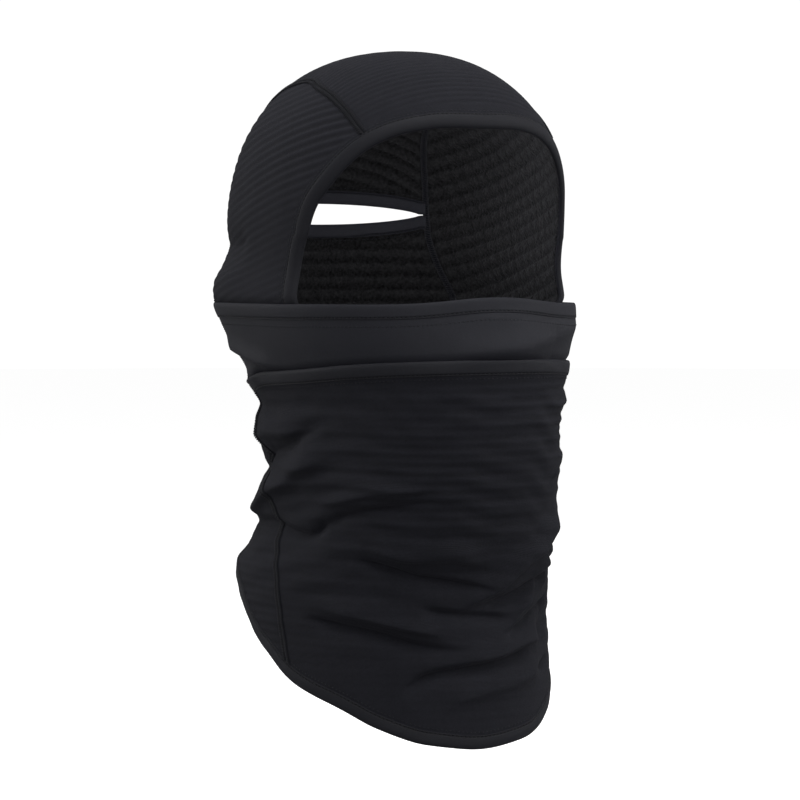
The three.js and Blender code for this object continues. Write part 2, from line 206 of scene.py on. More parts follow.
def through(outline, closed=False):
    """A smooth line through a given outline."""
    points = np.array([place(a, h) for a, h in outline])
    if closed:
        points = np.vstack([points[-1:], points, points[:2]])
    else:
        ends = 2 * points[0] - points[1], 2 * points[-1] - points[-2]
        points = np.vstack([ends[0], points, ends[1]])
    pieces = []
    t = np.linspace(0, 1, 40, endpoint=False)[:, None]
    for p in np.lib.stride_tricks.sliding_window_view(points, 4, axis=0):
        p = p.T
        gap = np.sqrt(np.linalg.norm(np.diff(p, axis=0), axis=1))
        k = np.r_[0, np.cumsum(gap)]
        at = k[1] + (k[2] - k[1]) * t
        a = [((k[i + 1] - at) * p[i] + (at - k[i]) * p[i + 1]) / (k[i + 1] - k[i])
             for i in range(3)]
        b = [((k[i + 2] - at) * a[i] + (at - k[i]) * a[i + 1]) / (k[i + 2] - k[i])
             for i in range(2)]
        pieces.append(((k[2] - at) * b[0] + (at - k[1]) * b[1]) / (k[2] - k[1]))
    pieces.append(points[-2][None])
    return resampled(np.vstack(pieces))


def around(height_at, start, end):
    angle = np.linspace(start, end, COUNT + 1)
    return place(angle, height_at(angle))


def shifted(line, width, closed=False):
    """The line moved sideways over the cloth, to the left of its direction."""
    points = worn(line)
    if closed:
        ring = points[:-1]
        along = np.roll(ring, -1, axis=0) - np.roll(ring, 1, axis=0)
        along = np.vstack([along, along[:1]])
    else:
        along = np.gradient(points, axis=0)
    along /= np.linalg.norm(along, axis=1, keepdims=True)
    aside = np.cross(slopes(line)[2], along)
    aside /= np.linalg.norm(aside, axis=1, keepdims=True)
    return moved(line, aside * width)


def crossing(first, second):
    """Where two lines cross, as a share of the first one's length."""
    a, d = first[:-1, None], np.diff(first, axis=0)[:, None]
    b, e = second[None, :-1], np.diff(second, axis=0)[None]
    turn = d[..., 0] * e[..., 1] - d[..., 1] * e[..., 0]
    g = b - a
    with np.errstate(divide="ignore", invalid="ignore"):
        p = (g[..., 0] * e[..., 1] - g[..., 1] * e[..., 0]) / turn
        q = (g[..., 0] * d[..., 1] - g[..., 1] * d[..., 0]) / turn
    i, j = np.nonzero((p >= 0) & (p <= 1) & (q >= 0) & (q <= 1))
    length = np.r_[0, np.cumsum(np.linalg.norm(np.diff(first, axis=0), axis=1))]
    at = length[i[0]] + p[i[0], j[0]] * (length[i[0] + 1] - length[i[0]])
    return at / length[-1]


def between(line, start, end):
    return resampled(line, crossing(line, start), crossing(line, end))


def length_of(line):
    return np.linalg.norm(np.diff(worn(line), axis=0), axis=1).sum()


def strip(low, high, across):
    """Places between two lines that run side by side: across + 1 rows."""
    t = np.linspace(0, 1, across + 1)[:, None, None]
    return low[None] + (high - low)[None] * t


def fill(top, bottom, right, left, columns, rows):
    """Places inside four lines that meet at the corners."""
    top, bottom = resampled(top, count=columns), resampled(bottom, count=columns)
    right, left = resampled(right, count=rows), resampled(left, count=rows)
    s = np.linspace(0, 1, columns + 1)[None, :, None]
    t = np.linspace(0, 1, rows + 1)[:, None, None]
    ruled = top[None] * (1 - t) + bottom[None] * t
    crossed = right[:, None] * (1 - s) + left[:, None] * s
    corners = (top[0] * (1 - s) + top[-1] * s) * (1 - t)
    corners = corners + (bottom[0] * (1 - s) + bottom[-1] * s) * t
    return ruled + crossed - corners


# ---- layers ----
def smooth(low, high, value):
    t = np.clip((value - low) / (high - low), 0, 1)
    return t * t * (3 - 2 * t)


def mask_top(angle):
    return -34.6 + 3.3 * np.exp(-((angle / 20) ** 2))


def gaiter_top(angle):
    return -61.4 - 9 * (np.abs(angle) / 100) ** 2.2


def under(edge, above, spots):
    """0 well above an edge and 1 below it; `above` moves the change up the head."""
    angle, height, _ = polar(spots)
    return smooth(-TUCK, 0.5, edge(angle) + above - height)


SEAM_ANGLES = np.array([(-h, a) for a, h in SEAM_LINE if h < 5 and a > 60])
GATHER = 9.0  # degrees over which the layers come together beside the seam
MASK_STAND, GAITER_STAND = 0.8, 1.3  # how far the two loose edges stand off the head
BELOW_EDGE, FURTHER_DOWN = 1.5, 8.0  # where cloth turns in under an edge, in two steps
HOOD_AT_MASK_SEAM, HOOD_AT_GAITER_SEAM, MASK_AT_SEAM = 1.35, 1.5, 1.45


def free(spots):
    """0 at the neck seam, where all the layers are sewn together, and 1 away from it."""
    angle, height, _ = polar(spots)
    seam = np.interp(-height, SEAM_ANGLES[:, 0], SEAM_ANGLES[:, 1])
    return smooth(1, GATHER, np.abs(seam - np.abs(angle)))


def gathered(spots, away, at_seam):
    share = free(spots)
    return at_seam * (1 - share) + away * share


def hood_lift(spots):
    first = under(mask_top, -BELOW_EDGE, spots)
    second = under(gaiter_top, TUCK, spots)
    deeper = HOOD_DEPTH_AT_GAITER - HOOD_DEPTH_AT_MASK
    away = -HOOD_DEPTH_AT_MASK * first - deeper * second
    at_seam = -HOOD_AT_MASK_SEAM * first - HOOD_AT_GAITER_SEAM * second
    return gathered(spots, away, at_seam)


def mask_lift(spots):
    tucked = under(gaiter_top, -BELOW_EDGE, spots)
    deep = under(gaiter_top, -FURTHER_DOWN, spots)
    away = MASK_STAND - (MASK_STAND + MASK_TUCK) * tucked - (MASK_DEPTH - MASK_TUCK) * deep
    return gathered(spots, away, -MASK_AT_SEAM * tucked)


def gaiter_lift(spots):
    angle, height, _ = polar(spots)
    near = smooth(-16, -5, height - gaiter_top(angle))
    return gathered(spots, GAITER_STAND * near, 0.0)


def flat(spots):
    return np.zeros(spots.shape[:-1])


# ---- folds in the cloth ----
# Height, reach upwards, reach downwards, and the line that the fold follows. A fold with
# a negative height is a crease. The first group is on the wearer's right and in front.
FOLDS = [
    (4.4, 9, 6.5, [(-128, -97), (-112, -99.5), (-95, -99), (-83, -96), (-70, -91)]),
    (-2.0, 5, 5, [(-125, -82), (-102, -84), (-87, -84.5), (-66, -81)]),
    (-3.0, 3, 4, [(-104, -112), (-93, -110.5), (-83, -105), (-77, -100.5), (-66, -95)]),
    (1.6, 7, 7, [(-76, -98), (-74.3, -109.7), (-76, -122)]),
    (-3.6, 6, 5, [(-134, -117), (-118, -119), (-100, -119), (-90, -114)]),
    (5.0, 8, 5, [(-130, -141), (-112, -138), (-98, -131.5), (-86, -124), (-76, -115),
                 (-60, -105)]),
    (-4.2, 2.2, 5, [(-130, -149), (-104, -145.5), (-90, -145), (-80, -148.5),
                  (-72, -149.5), (-66, -143), (-56, -138)]),
    (-3.3, 1.8, 3.6, [(-66, -143), (-58, -138.4), (-45.6, -135), (-35, -133), (-18, -129)]),
    (2.4, 5, 2.4, [(-70, -134), (-52, -128), (-36, -125), (-14, -121)]),
    (4.9, 9, 2.4, [(58, -137), (42, -147), (32, -153), (18, -161.5), (6, -174), (-9, -187)]),
    (-5.4, 1.7, 4, [(62, -160), (45, -166), (26, -175.5), (9, -181.5), (-10, -187)]),
    (3.6, 5, 2.0, [(48, -163), (37, -167.5), (27, -180), (15, -192)]),
    (-4.2, 1.6, 3.6, [(52, -184), (36, -187), (22, -194), (8, -200)]),
    (-4.4, 1.5, 3.6, [(-52, -160), (-40, -163.5), (-26, -168), (-10, -171), (9, -176)]),
    (2.4, 6, 3, [(-48, -153), (-30, -157), (-12, -157), (6, -163)]),
    (-4.4, 1.5, 4, [(-72, -190), (-57, -193), (-40, -196.5), (-23, -202), (0, -206)]),
    (2.8, 6, 2.2, [(-66, -185), (-46, -188.5), (-28, -193), (-10, -198)]),
    (-3.8, 1.5, 3.4, [(-24, -184), (-10, -186.5), (2, -188.5), (18, -191)]),
    (-4.2, 1.6, 4, [(26, -206), (14, -210.5), (-4, -214), (-21, -217.5), (-32, -227)]),
    (2.6, 6, 2.4, [(40, -202), (22, -203), (6, -208), (-14, -212)]),
    (2.3, 7, 4, [(40, -214), (20, -221), (0, -226), (-16, -234)]),
    (2.6, 4.5, 1.7, [(-122, -54), (-108, -58), (-94, -61.5), (-80, -66)]),
    (2.2, 6, 6, [(-22, -60), (8, -54), (36, -47.5), (66, -44)]),
    (1.3, 12, 12, [(2, -36), (2.5, -48), (2, -64)]),
    (-1.0, 10, 10, [(24, -44), (24, -56), (22, -66)]),
    (2.2, 5, 6, [(-128, -78), (-114, -74), (-102, -70), (-92, -68)]),
    (3.2, 3.5, 2.2, [(66, -150), (54, -158), (44, -168), (38, -180)]),
    (-3.6, 1.5, 3, [(70, -168), (58, -172), (48, -182), (42, -196)]),
    (3.0, 3.5, 2.0, [(70, -186), (58, -192), (46, -200), (34, -206)]),
    (-3.2, 1.5, 3, [(66, -206), (54, -211), (42, -216), (30, -218)]),
    (1.3, 2.4, 2, [(58, -78), (48, -82), (36, -84), (22, -85)]),
    (-1.2, 2, 2.4, [(60, -90), (50, -93), (38, -95), (26, -95)]),
    (1.2, 2.6, 2, [(60, -108), (48, -112), (38, -117), (30, -124)]),
    # the wearer's left
    (-3.4, 4, 5, [(38, -101), (50, -98), (62, -96), (74, -97)]),
    (-3.0, 5, 5, [(40, -160), (50, -156), (62, -153), (74, -152)]),
    (-4.4, 6, 6, [(30, -200), (46, -196), (60, -192), (74, -190)]),
    (4.0, 8, 6, [(130, -93), (112, -98), (96, -101), (80, -97), (66, -92)]),
    (-3.0, 4, 4.5, [(128, -110), (108, -113), (92, -112), (76, -105)]),
    (4.4, 8, 5, [(132, -132), (114, -131), (98, -127), (82, -120), (66, -111)]),
    (-3.2, 4, 6, [(130, -147), (108, -149), (92, -147), (76, -151), (60, -146)]),
    (2.2, 6, 6, [(112, -166), (96, -170), (82, -178), (70, -190)]),
    (-2.2, 4, 6, [(104, -182), (90, -188), (76, -197), (60, -206)]),
    # the back of the neck
    (3.6, 7, 6, [(132, -84), (158, -88), (185, -90), (210, -87), (226, -82)]),
    (-3.0, 4, 4.5, [(136, -99), (160, -102), (190, -103), (214, -99)]),
    (4.2, 8, 6, [(140, -114), (164, -117), (186, -117), (206, -113), (222, -112)]),
    (-2.8, 4.5, 5, [(142, -130), (166, -132), (192, -131), (218, -130)]),
    (2.0, 6, 6, [(118, -158), (140, -150), (170, -142), (200, -143), (228, -152)]),
    (-1.4, 6, 8, [(146, -42), (172, -45), (200, -44), (216, -41)]),
    # soft dents in the hood
    (-0.9, 16, 14, [(-96, 10), (-104, 30), (-108, 52)]),
    (-2.4, 7, 6, [(-142, -4), (-122, -6), (-104, -5), (-92, -2)]),
    (1.8, 5, 8, [(-150, -20), (-128, -23), (-108, -22), (-90, -18)]),
    (-0.8, 14, 14, [(100, 6), (106, 28), (112, 50)]),
]
ARC = 1.42  # millimetres round the head for each degree
WAVES = np.random.default_rng(11).uniform(0, 2 * np.pi, (12, 3))


def fold(one, angle, height):
    rise, upward, downward, outline = one
    line = np.array(outline, float)
    middle = line[:, 0].mean()
    angle = (angle - middle + 180) % 360 - 180 + middle
    points = np.stack([angle * ARC, height], -1)
    line = line * [ARC, 1]
    reach = 3 * max(upward, downward)
    low, high = line.min(0) - reach, line.max(0) + reach
    near = ((points > low) & (points < high)).all(-1)
    result = np.zeros(angle.shape)
    if not near.any():
        return result
    points = points[near]
    steps = np.linspace(0, len(line) - 1, 10 * (len(line) - 1) + 1)
    spline = smooth_line(line, steps)
    best = np.full(len(points), 1e9)
    share = np.zeros(len(points))
    above = np.zeros(len(points))
    for i in range(len(spline) - 1):
        a, d = spline[i], spline[i + 1] - spline[i]
        t = np.clip(((points - a) @ d) / (d @ d), 0, 1)
        away = points - a - t[:, None] * d
        distance = np.linalg.norm(away, axis=1)
        closer = distance < best
        best[closer] = distance[closer]
        share[closer] = ((i + t) / (len(spline) - 1))[closer]
        above[closer] = (away[:, 1] + 0.3 * np.abs(away[:, 0]) * np.sign(away[:, 1]))[closer]
    side = smooth(-2, 2, above)
    width = downward + (upward - downward) * side
    taper = smooth(0, 0.22, share) * smooth(1, 0.72, share)
    sharpness = 1.4 if rise < 0 else 1.8
    result[near] = rise * taper * np.exp(-((best / width) ** sharpness))
    return result


def smooth_line(line, steps):
    """A Catmull-Rom line in the plane, read at `steps` counted in points."""
    padded = np.vstack([2 * line[0] - line[1], line, 2 * line[-1] - line[-2]])
    i = np.minimum(steps.astype(int), len(line) - 2)
    t = (steps - i)[:, None]
    a, b, c, d = (padded[i + k] for k in range(4))
    return 0.5 * (2 * b + (c - a) * t + (2 * a - 5 * b + 4 * c - d) * t ** 2
                  + (3 * b - a - 3 * c + d) * t ** 3)


def crumple(angle, height):
    """Fine level wrinkles in the gathered neck, and a slow unevenness all over."""
    a = np.radians(angle)
    total = np.zeros(np.shape(angle))
    for k, (p, q, r) in enumerate(WAVES[:5]):
        wave = 8.5 + 1.9 * k
        drift = 1.6 * np.sin((2 + k) * a + p) + 0.9 * np.sin((5 + 2 * k) * a + q)
        patch = 0.5 + 0.5 * np.sin((3 + k) * a + r + height / (23 + 4 * k))
        total += 0.34 * patch * np.sin(2 * np.pi * height / wave + drift)
    neck = smooth(-72, -84, height) * smooth(-215, -150, height)
    result = total * (0.12 * smooth(-60, -70, height) + 0.88 * neck)
    crown = smooth(CROWN_HEIGHT, 60, height)  # the waves would crowd together at the very top
    for k, (p, q, r) in enumerate(WAVES[5:]):
        slow = np.sin((1 + k) * a + p + height / (31 + 7 * k)) * np.sin(height / (26 + 5 * k) + q)
        result += 0.3 * slow * crown
    return result


CROWN_DROP = 1.3  # the crown lies a little flatter than a superellipse


def folds(spots):
    angle, height, _ = polar(spots)
    total = crumple(angle, height) - CROWN_DROP * smooth(40, CROWN_HEIGHT, height)
    for one in FOLDS:
        total += fold(one, angle, height)
    return total


SAG = 0.45  # how far a fold hangs down, as a share of its height over SAG_FROM
SAG_FROM = 0.8


def skin(spots, lift):
    """Points in space, with the folds, `lift` above or below the worn shape."""
    _, _, normal = slopes(spots)
    height = folds(spots)
    points = worn(spots) + normal * (height + lift)[..., None]
    points[..., 2] -= SAG * np.maximum(height - SAG_FROM, 0)
    return points


# ---- meshes ----
def added(name, data):
    """A new object in the scene with this mesh, camera or light."""
    made = bpy.data.objects.new(name, data)
    bpy.context.scene.collection.objects.link(made)
    return made


def settle(node, **values):
    """Sets a node's own sockets; an underscore in a keyword stands for a space."""
    for label, value in values.items():
        node.inputs[label.replace("_", " ")].default_value = value


def new_mesh(name, points, quads, materials, face_material=None, marks=None):
    """A mesh object from points in millimetres and four corners for each face."""
    a, b, c, d = (points[quads[:, k]] for k in range(4))
    volume = (a * np.cross(b, c)).sum() + (a * np.cross(c, d)).sum()
    if volume < 0:
        quads = quads[:, ::-1]
    mesh = bpy.data.meshes.new(name)
    mesh.vertices.add(len(points))
    mesh.vertices.foreach_set("co", (points * MM).astype(np.float32).ravel())
    mesh.loops.add(quads.size)
    mesh.loops.foreach_set("vertex_index", quads.astype(np.int32).ravel())
    mesh.polygons.add(len(quads))
    mesh.polygons.foreach_set("loop_start", np.arange(0, quads.size, 4, dtype=np.int32))
    mesh.polygons.foreach_set("use_smooth", np.ones(len(quads), bool))
    for material in materials:
        mesh.materials.append(material)
    if face_material is not None:
        mesh.polygons.foreach_set("material_index", face_material.astype(np.int32))
    for label, values in (marks or {}).items():
        kind = "FLOAT_VECTOR" if values.ndim == 2 else "FLOAT"
        attribute = mesh.attributes.new(label, kind, "POINT")
        field = "vector" if values.ndim == 2 else "value"
        attribute.data.foreach_set(field, values.astype(np.float32).ravel())
    mesh.update(calc_edges=True)
    mesh.validate()
    return added(name, mesh)


def grid_quads(rows, columns, closed=False):
    """Corners of the faces of a grid of places, rows by columns."""
    last = columns if closed else columns - 1
    i, j = np.meshgrid(np.arange(last), np.arange(rows - 1))
    k = (i + 1) % columns
    corners = [j * columns + i, j * columns + k, (j + 1) * columns + k, (j + 1) * columns + i]
    return np.stack(corners, -1).reshape(-1, 4)


def shell(name, inner, outer, materials, grain, outer_painted_highlight, inner_painted_highlight):
    """A closed sheet from two grids of points, rows by columns by three. `grain` is each
    point's place in the knit, in millimetres; the last two grids, 0 to 1, are painted highlight."""
    rows, columns = outer.shape[:2]
    size = rows * columns
    face = grid_quads(rows, columns)
    rim = np.r_[
        np.arange(columns),
        np.arange(1, rows) * columns + columns - 1,
        (rows - 1) * columns + np.arange(columns - 2, -1, -1),
        np.arange(rows - 2, 0, -1) * columns,
    ]
    after = np.roll(rim, -1)
    wall = np.stack([rim, rim + size, after + size, after], -1)
    quads = np.vstack([face, face[:, ::-1] + size, wall])
    material = np.zeros(len(quads))
    material[len(face):2 * len(face)] = 1
    points = np.vstack([outer.reshape(-1, 3), inner.reshape(-1, 3)])
    a, b = (v.ravel() for v in grain)
    marks = [np.stack([a, b, rise.ravel()], -1) for rise in (outer_painted_highlight, inner_painted_highlight)]
    return new_mesh(name, points, quads, materials, material, {"cloth": np.vstack(marks)})


def ring_quads(stations, corners, closed=False):
    """Corners of the faces of a tube of section rings, with its ends capped unless closed."""
    i, j = np.meshgrid(np.arange(corners), np.arange(stations if closed else stations - 1))
    k, n = (i + 1) % corners, (j + 1) % stations
    quads = np.stack([j * corners + i, j * corners + k, n * corners + k, n * corners + i], -1)
    quads = quads.reshape(-1, 4)
    if closed:
        return quads
    k = np.arange(corners // 2 - 1)
    cap = np.stack([k, k + 1, corners - 2 - k, corners - 1 - k], -1)
    return np.vstack([quads, cap[:, ::-1], cap + (stations - 1) * corners])


# ---- materials ----
class Nodes:
    """A short way to write a material's nodes."""

    def __init__(self, name, roughness, gloss, sheen, sheen_tint):
        self.material = bpy.data.materials.new(name)
        self.material.use_nodes = True
        self.tree = self.material.node_tree
        self.shader = self.tree.nodes["Principled BSDF"]
        settle(self.shader, Roughness=roughness, Specular_IOR_Level=gloss, Sheen_Weight=sheen,
               Sheen_Roughness=0.5, Sheen_Tint=(*sheen_tint, 1))
        mark = self.add("ShaderNodeAttribute", attribute_name="cloth")
        split = self.add("ShaderNodeSeparateXYZ")
        self.link(mark.outputs["Vector"], split.inputs[0])
        # The mark's third value sets the colour: lighter on raised ribs and rows (painted
        # highlight) and darker in tape stitch grooves (painted shade).
        self.across, self.along, self.rise = split.outputs
        self.cloth = mark.outputs["Vector"]

    def add(self, kind, **settings):
        node = self.tree.nodes.new(kind)
        for key, value in settings.items():
            setattr(node, key, value)
        return node

    def link(self, source, target):
        self.tree.links.new(source, target)

    def math(self, operation, *values):
        node = self.add("ShaderNodeMath", operation=operation)
        for socket, value in zip(node.inputs, values):
            if isinstance(value, (int, float)):
                socket.default_value = value
            else:
                self.link(value, socket)
        return node.outputs[0]

    def noise(self, scale, detail=3.0):
        """Noise over the cloth; `scale` is its features for each millimetre."""
        where = self.add("ShaderNodeTexCoord")
        node = self.add("ShaderNodeTexNoise")
        settle(node, Scale=scale / MM, Detail=detail)
        self.link(where.outputs["Object"], node.inputs["Vector"])
        return node.outputs["Fac"]

    def blend_colours(self, factor, dark, light):
        node = self.add("ShaderNodeMix", data_type="RGBA")
        self.link(factor, node.inputs["Factor"])
        colours = [socket for socket in node.inputs if socket.type == "RGBA"]
        colours[0].default_value = (*dark, 1)
        colours[1].default_value = (*light, 1)
        result = [socket for socket in node.outputs if socket.type == "RGBA"][0]
        self.link(result, self.shader.inputs["Base Color"])

    def bump(self, height, distance, strength, before=None):
        node = self.add("ShaderNodeBump")
        settle(node, Strength=strength, Distance=distance * MM)
        self.link(height, node.inputs["Height"])
        if before is not None:
            self.link(before, node.inputs["Normal"])
        return node.outputs["Normal"]

    def knit(self, wale, course):
        """Height of a plain knit: columns of V-shaped stitches."""
        column = self.math("PINGPONG", self.math("DIVIDE", self.along, wale), 0.5)
        slant = self.math("MULTIPLY", column, 0.9)
        row = self.math("ADD", self.math("DIVIDE", self.across, course), slant)
        turn = self.math("MULTIPLY", row, 2 * math.pi)
        stitch = self.math("MULTIPLY_ADD", self.math("SINE", turn), 0.5, 0.5)
        groove = self.math("SINE", self.math("MULTIPLY", column, 2 * math.pi))
        return self.math("MULTIPLY", self.math("POWER", groove, 0.5), stitch)

    def finish(self, normal):
        self.link(normal, self.shader.inputs["Normal"])
        return self.material


def fleece_face_material():
    nodes = Nodes("grid_fleece_face", 0.8, 0.16, 0.05, (0.5, 0.5, 0.6))
    slow = nodes.math("MULTIPLY_ADD", nodes.noise(0.09, 4), 0.27, -0.13)
    mottle = nodes.math("MULTIPLY_ADD", nodes.noise(0.8, 4), 0.55, slow)
    # The lighter colour on the raised rib tops is painted highlight; the mottle under it is random
    # tone.
    mottle_and_painted_highlight = nodes.math("MULTIPLY_ADD", nodes.rise, 0.5, mottle)
    nodes.blend_colours(mottle_and_painted_highlight, (0.0035, 0.0037, 0.0055), (0.0150, 0.0153, 0.0212))
    stitches = nodes.bump(nodes.knit(0.75, 0.6), 0.14, 0.7)
    return nodes.finish(nodes.bump(nodes.noise(0.9, 4), 0.22, 0.6, stitches))


def fleece_pile_material():
    nodes = Nodes("grid_fleece_pile", 1.0, 0.05, 0.1, (0.6, 0.6, 0.66))
    # The lighter colour on the upper edges of the pile rows is painted highlight; the tufts are
    # random tone.
    painted_row_highlight = nodes.math("POWER", nodes.rise, 1.6)
    tufts = nodes.math("SMOOTH_MIN", nodes.math("SUBTRACT", nodes.noise(0.62, 5), 0.3), 0.5, 0.1)
    mottle_and_painted_highlight = nodes.math("MULTIPLY_ADD", painted_row_highlight, 0.42, nodes.math("MULTIPLY", tufts, 1.5))
    nodes.blend_colours(mottle_and_painted_highlight, (0.0020, 0.0020, 0.0022), (0.025, 0.025, 0.0267))
    coarse = nodes.bump(nodes.noise(0.7, 4), 1.2, 0.9)
    return nodes.finish(nodes.bump(nodes.noise(2.2, 3), 0.4, 0.8, coarse))


def jersey_material(name="mask_jersey", light=(0.0134, 0.0138, 0.0190)):
    nodes = Nodes(name, 0.62, 0.2, 0.05, (0.5, 0.5, 0.6))
    slow = nodes.math("MULTIPLY_ADD", nodes.noise(0.05, 4), 0.3, -0.25)
    mottle = nodes.math("MULTIPLY_ADD", nodes.noise(0.9, 4), 0.45, slow)
    # The mark darkens the tapes along their stitch groove: painted shade; the mottle is random
    # tone.
    nodes.blend_colours(nodes.math("ADD", mottle, nodes.rise), tuple(0.3 * c for c in light), light)
    stitches = nodes.bump(nodes.knit(0.55, 0.42), 0.06, 0.45)
    return nodes.finish(nodes.bump(nodes.noise(0.7, 4), 0.16, 0.4, stitches))


def thread_material(name, light):
    nodes = Nodes(name, 0.55, 0.25, 0.05, (0.5, 0.5, 0.6))
    nodes.blend_colours(nodes.noise(0.5), tuple(0.5 * c for c in light), light)
    twist = nodes.math("MULTIPLY_ADD", nodes.along, 2.2, nodes.across)
    strand = nodes.math("SINE", nodes.math("MULTIPLY", twist, 2 * math.pi / 0.35))
    return nodes.finish(nodes.bump(strand, 0.05, 0.5))


FACE = fleece_face_material()
PILE = fleece_pile_material()
MASK_CLOTH = jersey_material()
TAPE_CLOTH = jersey_material("binding_tape", (0.0100, 0.0103, 0.0142))
# The slit tapes are the binding tape made about twice as light, standing in for light falling
# inside the hood: painted light.
SLIT_TAPE_PAINTED_LIGHT = jersey_material("slit_tape_painted_light", (0.0210, 0.0214, 0.0278))
THREAD = thread_material("sewing_thread", (0.0046, 0.0051, 0.0084))
SEAM_THREAD = thread_material("seam_thread", (0.0076, 0.0083, 0.0126))
INNER_THREAD = thread_material("inner_seam_thread", (0.024, 0.0245, 0.029))


# ---- lines that the pieces share ----
def on_side(outline, side):
    return [(side * angle, height) for angle, height in outline]


FACE_LINE = through(on_side(FACE_EDGE, RIGHT)[:0:-1] + FACE_EDGE)
HEM_LINE = through(HEM_EDGE + on_side(HEM_EDGE, RIGHT)[-2:0:-1], closed=True)
SEAMS = {side: through(on_side(SEAM_LINE, side)) for side in (RIGHT, LEFT)}
TAPE_HOLD = TAPE_WIDTH - 5.5  # a panel reaches this near to the edge, inside its tape
FACE_HOLD = TAPE_WIDTH - 2.9  # less far in at the face, where the tape curls inwards
FACE_CURL = 2.0
SEAM_REACH = 0.2  # half the slit that the flatlock stitches close


def face_line(width):
    return shifted(FACE_LINE, width)


def hem_line(width):
    return shifted(HEM_LINE, width, closed=True)


def hem_from_back(width):
    line = hem_line(width)[:-1]
    line = np.roll(line, -(COUNT // 2), axis=0)
    return np.vstack([line, line[:1]])


def seam_line(side, towards, width=SEAM_REACH):
    return shifted(SEAMS[side], side * towards * width)


def slit_shape(angle):
    share = (180 - np.abs(angle)) / SLIT_END
    return np.maximum(0, 1 - share * share) ** 0.75


def slit_line(up, width):
    """The slit's upper edge, or its lower one, moved `width` away from the opening."""
    def height(angle):
        bow = SLIT_UP if up > 0 else SLIT_DOWN
        return SLIT_HEIGHT + up * (SLIT_GAP + bow * slit_shape(angle) + width)
    return around(height, 235, 125)


def mask_line(width):
    return around(lambda angle: mask_top(angle) - width, -150, 150)


def gaiter_line(width):
    return around(lambda angle: gaiter_top(angle) - width, -150, 150)


def level(height, start=-150, end=150):
    return around(lambda angle: np.full_like(angle, height), start, end)


def trimmed(line, towards):
    """The part of a line from the right seam to the left one."""
    return between(line, seam_line(RIGHT, towards), seam_line(LEFT, towards))


# ---- the knitted relief ----
RIB = 4.4  # pitch of the fleece's ribs
ROW = 7.2  # pitch of the rows of pile on the inner face
BLOCK = 7.6  # pitch of the blocks along a row
RIB_TILT = math.radians(14)
CROWN_ARC = 152.0  # millimetres of cloth for each unit of the map over the crown


def crown_grain(spots, points):
    """Rows from side to side that bend down towards the ears."""
    level_share = 0.4
    reach = np.hypot(spots[..., 0], spots[..., 1])
    row = (1 - level_share) * spots[..., 1] + level_share * reach * np.tanh(4 * spots[..., 1])
    return CROWN_ARC * row, CROWN_ARC * spots[..., 0]


def side_grain(spots, points):
    tilt = math.cos(RIB_TILT), math.sin(RIB_TILT)
    return (points[..., 2] * tilt[0] + points[..., 1] * tilt[1],
            points[..., 1] * tilt[0] - points[..., 2] * tilt[1])


def neck_grain(spots, points):
    angle, height, _ = polar(spots)
    return height, angle % 360 * ARC


def front_grain(spots, points):
    angle, height, _ = polar(spots)
    return height, angle * ARC


def wander(a, b):
    """A slow drift of the rows, as cloth has that isn't pulled straight."""
    return 0.35 * np.sin(a / 31 + b / 47) + 0.25 * np.sin(b / 23 - a / 53 + 1)


def ribs(a, b):
    row = 0.5 + 0.5 * np.cos(2 * np.pi * (a + wander(a, b)) / RIB)
    return row ** 1.3


def pile(a, b, rows):
    """The inner face: rows of soft blocks, each row with a sharp upper edge. Grooves cut
    the rows into blocks, more deeply where `rows`, from 0 to 1, is low."""
    drift = wander(a, b)
    turn = ((a + drift) / ROW) % 1.0
    row = smooth(0, 0.62, turn) * smooth(1.0, 0.84, turn)
    block = 0.5 + 0.5 * np.cos(2 * np.pi * (b + 1.3 * drift + 0.5 * np.sin(a / 9)) / BLOCK)
    return row * (rows + (1 - rows) * block ** 0.5)


RIB_RISE = 0.46
PILE_RISE = 1.0
FUZZ = np.random.default_rng(5)
STEP = 0.85  # how fine the knitted panels are
EVEN = 0.75  # the colour mark of plain cloth, with no painted highlight or shade


def edge_distances(points):
    down = np.linalg.norm(np.diff(points, axis=0), axis=-1)
    over = np.linalg.norm(np.diff(points, axis=1), axis=-1)
    top = np.vstack([np.zeros((1, points.shape[1])), np.cumsum(down, axis=0)])
    right = np.hstack([np.zeros((points.shape[0], 1)), np.cumsum(over, axis=1)])
    return top, top[-1:] - top, right, right[:, -1:] - right


def counted(line, size):
    return max(2, round(length_of(line) / size))


def grid(top, bottom, right, left, size=STEP):
    columns = max(counted(top, size), counted(bottom, size))
    rows = max(counted(right, size), counted(left, size))
    return fill(top, bottom, right, left, columns, rows)


def patches(a, b):
    """Where the ribs stand out and where the stretched cloth is nearly smooth."""
    return 0.62 + 0.38 * np.sin(a / 17 + 0.8 * np.sin(b / 29)) * np.sin(b / 37 + a / 51 + 2)


